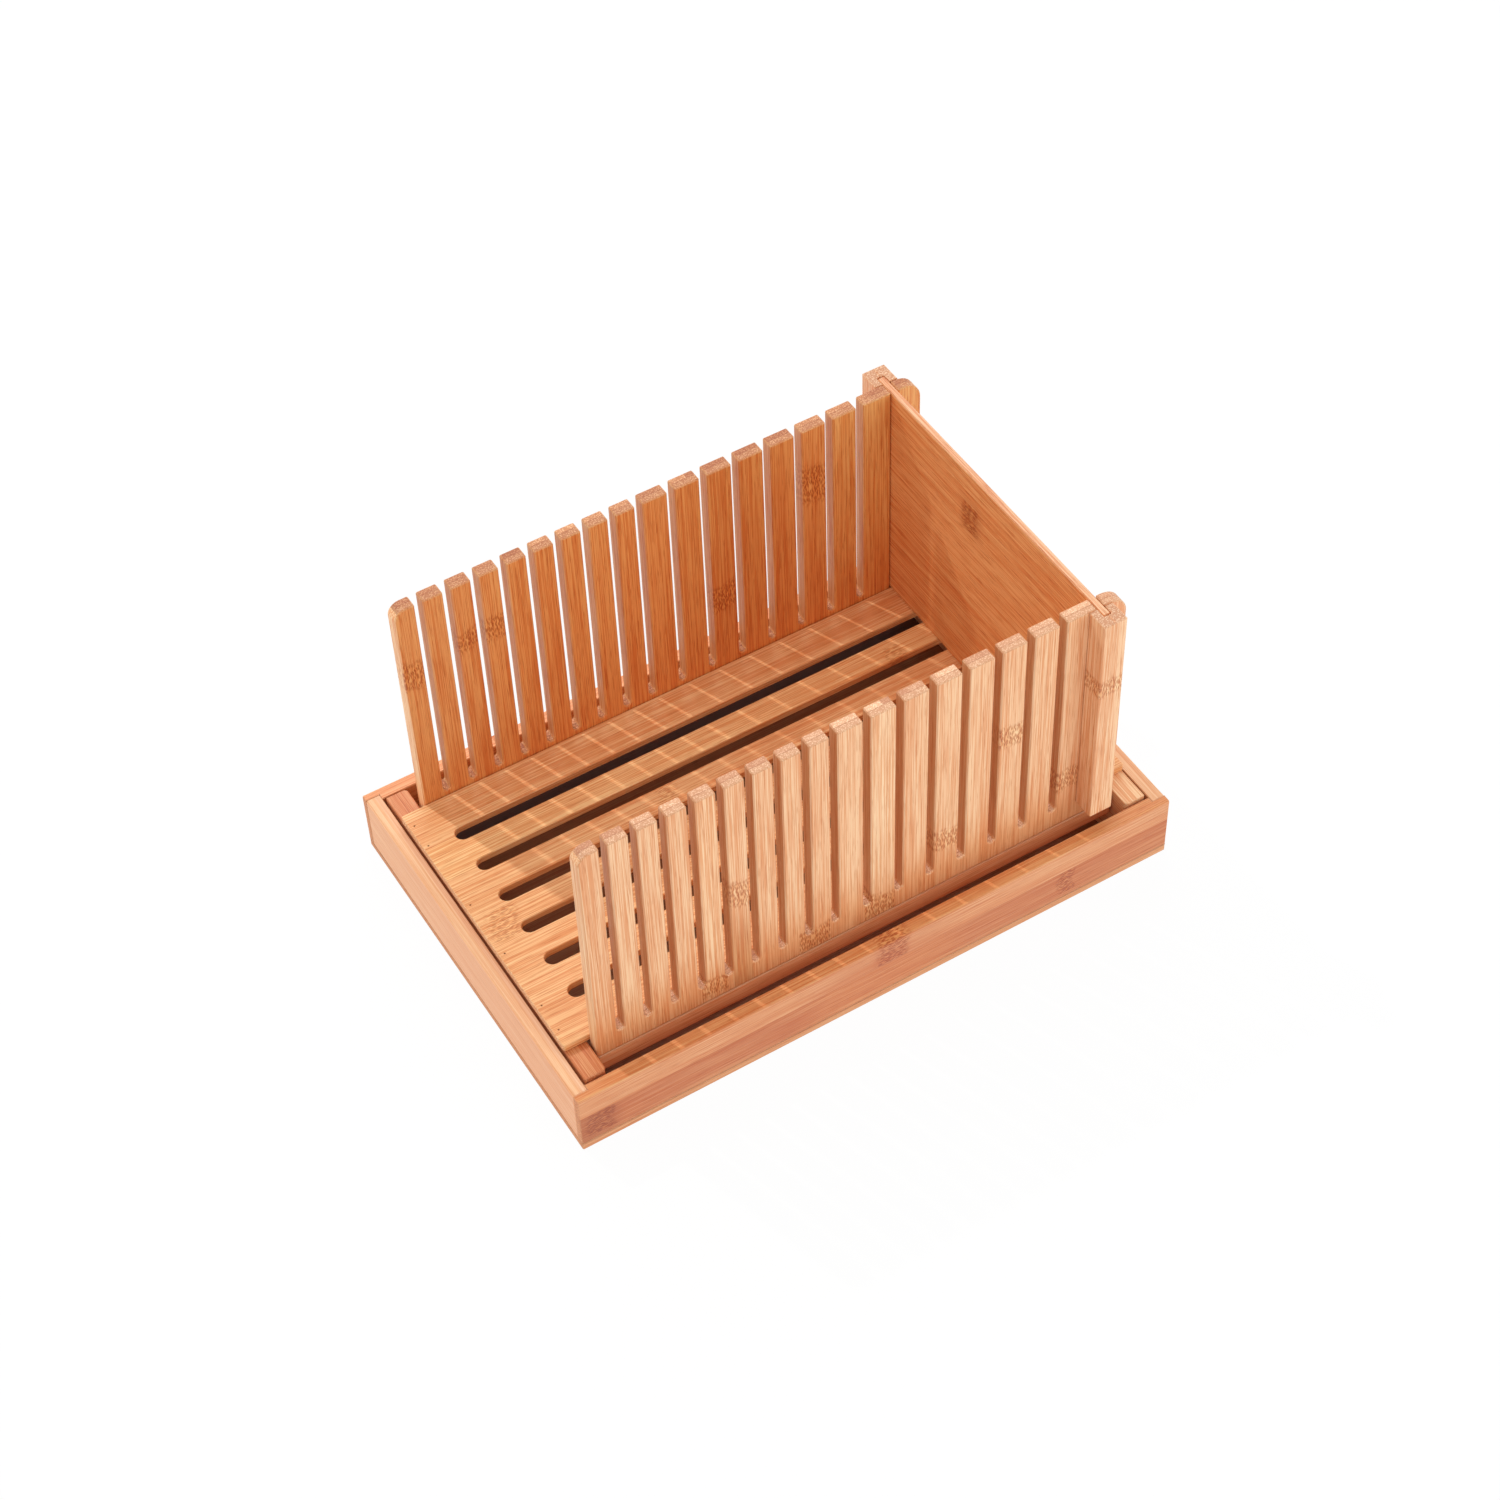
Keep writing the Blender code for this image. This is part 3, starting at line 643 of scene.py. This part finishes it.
# The look of every wooden node
FINISHES = {
    "tray_floor": Finish(
        LENGTHWISE_FLAT, (0.76, 0.310, 0.120), 1.0, 0.8,
        zones=(
            Zone((0.76, 0.365, 0.136), "X"),
            # Painted shade: the floor's top is dark brown inside the tray and nearly black along its
            # far strip, where shade falls
            Zone(TRAY_INSIDE_SHADE, "+Z"),
            Zone((0.09, 0.03, 0.012), "+Z", ("Y", 0.078, None, 0.003)),
        ),
    ),
    "tray_wall_near": Finish(
        LENGTHWISE, (0.83, 0.350, 0.149), 2.0, 1.1, first=0.008,
        zones=(
            Zone((0.67, 0.215, 0.076), None, LOWER_STRIP),
            Zone((0.56, 0.165, 0.055), None, LOWER_STRIP, ("X", None, -0.150, 0.005)),
            Zone((0.73, 0.245, 0.083), None, LOWER_STRIP, ("X", -0.040, 0.040, 0.020)),
            Zone((0.77, 0.305, 0.128), None, UPPER_STRIP, ("X", -0.040, 0.040, 0.020)),
            Zone(
                (0.66, 0.200, 0.080), "-Y", UPPER_STRIP, ("X", -0.005, 0.013, 0.005),
                share=0.60,
            ),
            Zone((0.76, 0.305, 0.106), "+Z"),
            Zone((0.79, 0.330, 0.118), "+Z", ("X", 0.020, None, 0.050)),
            Zone((0.93, 0.50, 0.25), "+Y"),
        ),
        knots=(
            (-0.1585, 0.008, 0.008, 0.0245),
            (0.0045, 0.009, 0.0245, 0.041),
            (0.109, 0.005, 0.008, 0.0245),
        ),
    ),
    "tray_wall_far": Finish(
        LENGTHWISE, (0.83, 0.350, 0.149), 3.0, 0.9, first=0.008,
        zones=(
            Zone((0.72, 0.27, 0.11), None, LOWER_STRIP),
            # Painted shade: the far wall's inner face is darker for the shade inside the tray
            Zone((0.58, 0.24, 0.10), "-Y"),
        ),
        knots=((0.062, 0.005, 0.008, 0.0245), (-0.094, 0.005, 0.0245, 0.041)),
    ),
    "tray_wall_front": Finish(
        CROSSWISE, (0.99, 0.462, 0.218), 4.0, 0.45, first=0.008,
        zones=(
            Zone((1.00, 0.482, 0.230), "-X", ("Y", 0.030, None, 0.030)),
            Zone((0.88, 0.490, 0.250), "+Z"),
            Zone((0.83, 0.390, 0.170), "+Z", ("X", None, -0.1690, 0.0002)),
            Zone((0.85, 0.440, 0.210), "+Z", ("X", -0.1664, -0.1656, 0.0002)),
            Zone((0.86, 0.470, 0.258), "+Z", ("X", -0.1653, None, 0.0002)),
            Zone((0.82, 0.42, 0.20), "+X"),
        ),
    ),
    "tray_wall_back": Finish(
        CROSSWISE, (0.90, 0.500, 0.260), 5.0, 0.6, first=0.008,
        zones=(
            Zone((0.85, 0.420, 0.200), "+Z", ("X", 0.1667, 0.1696, 0.0003)),
            # Painted shade: the back wall's inner face is darker for the shade inside the tray
            Zone((0.58, 0.24, 0.10), "-X"),
        ),
        knots=((0.031, 0.005, 0.0245, 0.041),),
    ),
    "slotted_board": Finish(
        LENGTHWISE_FLAT, (0.91, 0.460, 0.190), 21.0, 1.3, end=(0.95, 0.550, 0.300),
        strip=0.0230, first=0.0115, knot_share=0.65,
        zones=(
            # Partly painted light: this strip of the board's top is paler partly for its own tone and
            # partly to lift the far guide's shadow on it
            Zone((0.96, 0.525, 0.217), "+Z", ("Y", 0.0345, 0.0575, 0.0003)),
            Zone((0.87, 0.420, 0.166), "+Z", ("Y", None, -0.0575, 0.0003)),
        ),
        knots=(
            (-0.041, 0.006, 0.0207, 0.0303),
            (0.104, 0.006, 0.034, 0.0483),
            (-0.1500, 0.009, -0.013, 0.006),
        ),
    ),
    "batten_front": Finish(
        CROSSWISE_FLAT, (0.70, 0.265, 0.108), 7.0, 1.5,
        zones=(
            Zone((0.67, 0.228, 0.080), "+Z"),
            Zone((0.66, 0.235, 0.080), "+Z", ("Y", None, 0.0, 0.02)),
        ),
    ),
    "batten_back": Finish(CROSSWISE_FLAT, (0.94, 0.545, 0.280), 8.0, 1.1),
    "guide_comb_near": Finish(
        # Its base tone, on the slot walls, is partly painted shade inside the slots
        UPRIGHT, SLOT_WALL_SHADE_RED, 9.0, 1.15, end=END_PEACH, strip=0.01485, first=-0.1344, ply=-PLY_PLACE,
        zones=(
            *comb_zones("-Y", "+Y"),
            Zone((0.97, 0.530, 0.260), "-X", ("X", None, -0.1440, 0.0003)),
            Zone((0.78, 0.330, 0.130), "-Y", ("X", -0.0730, -0.0618, 0.0003), ("Z", None, 0.085, 0.02)),
            Zone((1.00, 0.555, 0.285), "-Y", ("X", -0.0880, -0.0765, 0.0003), ("Z", 0.065, None, 0.02)),
            Zone((1.00, 0.575, 0.305), "-Y", ("X", 0.0030, 0.0212, 0.0003), ("Z", 0.060, None, 0.02)),
        ),
        knots=(
            (0.104, 0.010, -0.0730, -0.0618),
            (0.068, 0.008, 0.0410, 0.0556),
            (0.122, 0.008, 0.0774, 0.0918),
            (0.069, 0.008, 0.1134, 0.1306),
            (0.044, 0.007, -0.0905, -0.0755),
            (0.043, 0.008, -0.0360, -0.0180),
            (0.043, 0.010, 0.0010, 0.0190),
        ),
    ),
    "guide_comb_far": Finish(
        UPRIGHT, (0.74, 0.345, 0.137), 10.0, 1.6, end=END_BROWN,
        strip=0.01485, first=-0.1344, ply=PLY_PLACE,
        zones=(
            *comb_zones("+Y", "-Y"),
            Zone((0.89, 0.465, 0.232), "+Y", ("Z", 0.062, None, 0.022)),
            Zone((0.99, 0.500, 0.230), "-X", ("X", None, -0.1440, 0.0003)),
        ),
        knots=(
            (0.139, 0.010, -0.1482, -0.1364),
            (0.146, 0.007, -0.1178, -0.1065),
            (0.144, 0.009, -0.1028, -0.0916),
            (0.094, 0.010, 0.0231, 0.0375),
            (0.145, 0.014, 0.0774, 0.0918),
        ),
    ),
    "guide_foot_near": foot_finish(11.0),
    "guide_foot_far": foot_finish(12.0),
    "guide_post_near_front": post_finish(13.0, 0.1410),
    "guide_post_near_back": post_finish(13.0, 0.1410),
    "guide_post_far_front": post_finish(15.0, 0.151),
    "guide_post_far_back": post_finish(15.0, 0.151),
    "back_stop": Finish(
        CROSSWISE, (0.89, 0.380, 0.130), 17.0, 2.4, strip=0.0173, first=0.0100,
        zones=(
            Zone((0.80, 0.39, 0.195), "+Z"),
            Zone(
                (0.58, 0.200, 0.062), "-X", ("Y", 0.004, 0.020, 0.005), ("Z", 0.145, 0.165, 0.006),
                share=0.60,
            ),
        ),
        knots=((0.0122, 0.007, 0.1452, 0.1638),),
    ),
}


def glue_material(name, colour):
    """Dried glue: the wood's tone a little darker, uneven and half matt."""
    material = bpy.data.materials.new(name)
    material.use_nodes = True
    graph = Graph(material.node_tree)
    shader = material.node_tree.nodes["Principled BSDF"]
    place = graph.node("TexCoord", out=3)
    uneven = graph.noise(graph.node("VectorMath", place, UNEVEN_GLUE_WAVES, operation="MULTIPLY"))
    tint = graph.mix(uneven, shade(colour), shade([GLUE_DEEPEST * c for c in colour]))
    graph.put(shader.inputs["Base Color"], tint)
    graph.put(shader.inputs["Roughness"], graph.ramp(uneven, 0.3, 0.7, 0.45, 0.65))
    return material


def set_material(obj, material):
    """Gives an object one material on all its faces."""
    obj.data.materials.clear()
    obj.data.materials.append(material)
    for face in obj.data.polygons:
        face.material_index = 0


def dress_nodes():
    """Gives every CAD node its material."""
    pin = steel("pin_steel", PIN_STEEL, 0.30)
    brad = steel("brad_steel", BRAD_STEEL, 0.60)
    for name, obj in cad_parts.items():
        if name.startswith("hinge_pin"):
            set_material(obj, pin)
        elif name.startswith("board_brad"):
            set_material(obj, brad)
        else:
            set_material(obj, bamboo(name + "_bamboo", FINISHES[name]))


def make_floor():
    """A pale floor that the camera sees as white, and that lights the object from below."""
    mesh = bpy.data.meshes.new("floor")
    half = FLOOR_SIZE / 2
    corners = [(-half, -half, 0), (half, -half, 0), (half, half, 0), (-half, half, 0)]
    mesh.from_pydata(corners, [], [(0, 1, 2, 3)])
    floor = bpy.data.objects.new("floor", mesh)
    bpy.context.scene.collection.objects.link(floor)
    floor.location.z = -FLOOR_DROP
    material = bpy.data.materials.new("floor")
    material.use_nodes = True
    tree = material.node_tree
    tree.nodes.clear()
    graph = Graph(tree)
    seen = graph.seen_white()
    white = graph.node("Emission", shade(WHITE), 1.0)
    matt = graph.node("BsdfDiffuse", shade(WHITE))
    white = graph.node("MixShader", FLOOR_GLOW, matt, white)
    glow = graph.node("Emission", shade(WHITE), FLOOR_LEVEL)
    mixed = graph.node("MixShader", seen, glow, white)
    out = tree.nodes.new("ShaderNodeOutputMaterial")
    graph.put(out.inputs["Surface"], mixed)
    mesh.materials.append(material)


def make_world():
    """Even light from all round, white where the camera sees it."""
    world = bpy.data.worlds.new("studio")
    bpy.context.scene.world = world
    world.use_nodes = True
    tree = world.node_tree
    tree.nodes.clear()
    graph = Graph(tree)
    seen = graph.seen_white()
    white = graph.node("Background", shade(WHITE), 1.0)
    sky = graph.node("Background", shade(WHITE), SKY_LEVEL)
    mixed = graph.node("MixShader", seen, sky, white)
    out = tree.nodes.new("ShaderNodeOutputWorld")
    graph.put(out.inputs["Surface"], mixed)


def softbox(name, place, size, watts):
    """A square area lamp, aimed at the middle of the object."""
    low, high = CAD_BOX
    middle = (Vector(low) + Vector(high)) / 2
    data = bpy.data.lights.new(name, "AREA")
    data.size = size
    data.energy = watts
    data.color = WHITE
    lamp = bpy.data.objects.new(name, data)
    bpy.context.scene.collection.objects.link(lamp)
    lamp.location = place
    lamp.rotation_mode = "QUATERNION"
    lamp.rotation_quaternion = (middle - lamp.location).to_track_quat("-Z", "Y")


def finish_piece(name, work, body, material):
    """Turns a mesh in the making into a piece that rides on a body."""
    mesh = bpy.data.meshes.new(name)
    work.to_mesh(mesh)
    work.free()
    piece = bpy.data.objects.new(name, mesh)
    bpy.context.scene.collection.objects.link(piece)
    mesh.materials.append(material)
    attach(piece, body)


def glue_outline(low, high, back):
    """The corners and the slightly wavy edge of a glue line, as points in its plane."""
    points = []
    corners = [(low[0], low[1]), (high[0], low[1]), (high[0], high[1]), (low[0], high[1])]
    for index in range(4):
        start = Vector(corners[index])
        end = Vector(corners[(index + 1) % 4])
        steps = max(1, round((end - start).length / GLUE_STEP))
        inward = Vector((-(end - start).y, (end - start).x)).normalized()
        for step in range(steps):
            share = step / steps
            wave = 0.5 + 0.5 * sin(WAVE_TURN * step + WAVE_START * index)
            shift = 0.0 if step == 0 else WAVE_DEPTH * back * wave
            points.append(start.lerp(end, share) + inward * shift)
    return points


def glue_lines(name, body, gaps, material, back):
    """Thin sheets of glue in the gaps between pieces, a little back from the wood's surface.

    A gap is its lowest and highest corner.
    """
    work = bmesh.new()
    for low, high in gaps:
        sizes = [high[axis] - low[axis] for axis in range(3)]
        thin = sizes.index(min(sizes))
        flat = [axis for axis in range(3) if axis != thin]
        rings = []
        for level in (low[thin] + GLUE_GAP, high[thin] - GLUE_GAP):
            ring = []
            first = [low[axis] + back for axis in flat]
            last = [high[axis] - back for axis in flat]
            for point in glue_outline(first, last, back):
                place = [0.0, 0.0, 0.0]
                place[thin] = level
                place[flat[0]] = point.x
                place[flat[1]] = point.y
                ring.append(work.verts.new(place))
            rings.append(ring)
        under, over = rings
        work.faces.new(under[::-1])
        work.faces.new(over)
        for index, corner in enumerate(under):
            after = (index + 1) % len(under)
            work.faces.new((corner, under[after], over[after], over[index]))
    bmesh.ops.recalc_face_normals(work, faces=work.faces)
    finish_piece(name, work, body, material)


def fill_seam(name, body, seam, side, material):
    """Wood filler in the seam between a post's strips and between their eased edges outside."""
    left, right, inner, outer, bottom, top = seam
    left, right = left + GLUE_GAP, right - GLUE_GAP
    inner, outer = inner + side * GLUE_GAP, outer - side * GLUE_GAP
    neck = outer - side * SEAM_ARRIS
    flare = SEAM_ARRIS - GLUE_GAP
    bottom, top = bottom + SEAM_ARRIS, top - SEAM_ARRIS
    work = bmesh.new()
    steps = round((top - bottom) / GLUE_STEP)
    rings = []
    for step in range(steps + 1):
        level = bottom + (top - bottom) * step / steps
        face = outer - side * GLUE_GAP * (0.5 + 0.5 * sin(WAVE_TURN * step))
        outline = [(left, inner), (right, inner), (right, neck)]
        outline += [(right + flare, face), (left - flare, face), (left, neck)]
        rings.append([work.verts.new((x, y, level)) for x, y in outline])
    for under, over in zip(rings, rings[1:]):
        for index, corner in enumerate(under):
            after = (index + 1) % len(under)
            work.faces.new((corner, under[after], over[after], over[index]))
    work.faces.new(rings[0][::-1])
    work.faces.new(rings[-1])
    bmesh.ops.recalc_face_normals(work, faces=work.faces)
    finish_piece(name, work, body, material)


def fill_brad_holes():
    """A ring of wood filler round each brad, just under the board's surface."""
    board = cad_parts["slotted_board"]
    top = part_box("slotted_board")[1].z - GLUE_GAP
    work = bmesh.new()
    for name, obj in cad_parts.items():
        if not name.startswith("board_brad"):
            continue
        low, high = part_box(name)
        x, y = (low.x + high.x) / 2, (low.y + high.y) / 2
        rim = {}
        for vertex in obj.data.vertices:
            angle = round(atan2(vertex.co.y - y, vertex.co.x - x), 2)
            angle = abs(angle) if abs(angle) > NEAR_HALF_TURN else angle
            reach = Vector((vertex.co.x - x, vertex.co.y - y)).length
            rim[angle] = max(reach, rim.get(angle, 0.0))
        corners = []
        for angle, reach in sorted(rim.items()):
            if reach < (high.x - low.x) / 4:
                continue
            way = Vector((cos(angle), sin(angle), 0.0))
            inner, outer = reach + GLUE_GAP, reach + BRAD_ROOM - 2 * GLUE_GAP
            base = top - FILLER_DEPTH
            spots = ((inner, base), (outer, base), (outer, top), (inner, top))
            corners.append([work.verts.new(Vector((x, y, z)) + r * way) for r, z in spots])
        for corner, after in zip(corners, corners[1:] + corners[:1]):
            for side in range(4):
                ahead = (side + 1) % 4
                work.faces.new((corner[side], after[side], after[ahead], corner[ahead]))
    bmesh.ops.recalc_face_normals(work, faces=work.faces)
    finish_piece("brad_filler", work, "base", board.active_material)


def glue_the_tray():
    """Fills the hairline gaps between the tray's boards, so that they show as faint lines."""
    floor_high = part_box("tray_floor")[1]
    wall_low, wall_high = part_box("tray_wall_near")
    short_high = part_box("tray_wall_front")[1]
    under, over = floor_high.z, wall_low.z
    far_x, far_y = wall_high.x, floor_high.y
    in_x, in_y = -short_high.x, -wall_high.y
    lap_y = short_high.y
    top = short_high.z
    gap = over - under
    gaps = []
    for side in (-1, 1):
        y = sorted((side * in_y, side * far_y))
        gaps.append(((-far_x, y[0], under), (far_x, y[1], over)))
        x = sorted((side * in_x, side * far_x))
        gaps.append(((x[0], -in_y, under), (x[1], in_y, over)))
        for end in (-1, 1):
            lap = sorted((side * lap_y, side * (lap_y + gap)))
            long = sorted((end * in_x, end * far_x))
            gaps.append(((long[0], lap[0], over), (long[1], lap[1], top)))
            lap = sorted((end * (in_x - gap), end * in_x))
            long = sorted((side * in_y, side * lap_y))
            gaps.append(((lap[0], long[0], over), (lap[1], long[1], top)))
    glue = glue_material("tray_glue", TRAY_GLUE)
    glue_lines("glue_tray", "tray", gaps, glue, GLUE_BACK)


def glue_the_guides():
    """Fills the gaps over each foot rail, beside each post and between its strips.

    All of it stays out of the back stop's groove.
    """
    glue = glue_material("guide_glue", GUIDE_GLUE)
    stop_low, stop_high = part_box("back_stop")
    groove = (stop_low.x - GROOVE_SIDE_CLEARANCE, stop_high.x + GROOVE_SIDE_CLEARANCE)
    groove_end = stop_high.y + GROOVE_END_CLEARANCE
    for place, side in (("near", -1), ("far", 1)):
        comb_low, comb_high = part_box("guide_comb_" + place)
        foot_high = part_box("guide_foot_" + place)[1]
        front_low, front_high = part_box("guide_post_" + place + "_front")
        back_low, back_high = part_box("guide_post_" + place + "_back")
        comb_face, post_face, outer = (
            (comb_high.y, front_low.y, front_high.y)
            if side > 0
            else (comb_low.y, front_high.y, front_low.y)
        )
        across = sorted((comb_face, post_face))
        gaps = [
            ((comb_low.x, comb_low.y, foot_high.z), (comb_high.x, comb_high.y, comb_low.z)),
            ((front_low.x, across[0], front_low.z), (groove[0], across[1], front_high.z)),
            ((groove[1], across[0], back_low.z), (back_high.x, across[1], back_high.z)),
        ]
        glue_lines("glue_guide_" + place, "guide_" + place, gaps, glue, GLUE_BACK)
        seam = (front_high.x, back_low.x, side * groove_end, outer, front_low.z, front_high.z)
        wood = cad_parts["guide_post_" + place + "_front"].active_material
        fill_seam("seam_filler_" + place, "guide_" + place, seam, side, wood)


def make_camera():
    """The photograph's camera: its place, its angles and its lens."""
    turn, rise, roll = (radians(a) for a in (CAMERA_AZIMUTH, CAMERA_ELEVATION, CAMERA_ROLL))
    back = Vector((sin(turn) * cos(rise), -cos(turn) * cos(rise), sin(rise)))
    level = Vector((0, 0, 1)).cross(back).normalized()
    upward = back.cross(level)
    right = cos(roll) * level + sin(roll) * upward
    up = -sin(roll) * level + cos(roll) * upward
    data = bpy.data.cameras.new("camera")
    data.lens = CAMERA_LENS
    data.sensor_width = CAMERA_SENSOR
    data.clip_start = CLIP_START
    data.clip_end = CLIP_END
    camera = bpy.data.objects.new("camera", data)
    bpy.context.scene.collection.objects.link(camera)
    axes = Matrix((right, up, back)).transposed().to_4x4()
    camera.matrix_world = Matrix.Translation(CAMERA_PLACE) @ axes
    bpy.context.scene.camera = camera


def main():
    make_camera()
    dress_nodes()
    glue_the_tray()
    glue_the_guides()
    fill_brad_holes()
    make_floor()
    make_world()
    for name, place, size, watts in SOFTBOXES:
        softbox(name, place, size, watts)
    bpy.context.scene.view_settings.view_transform = "Standard"


main()
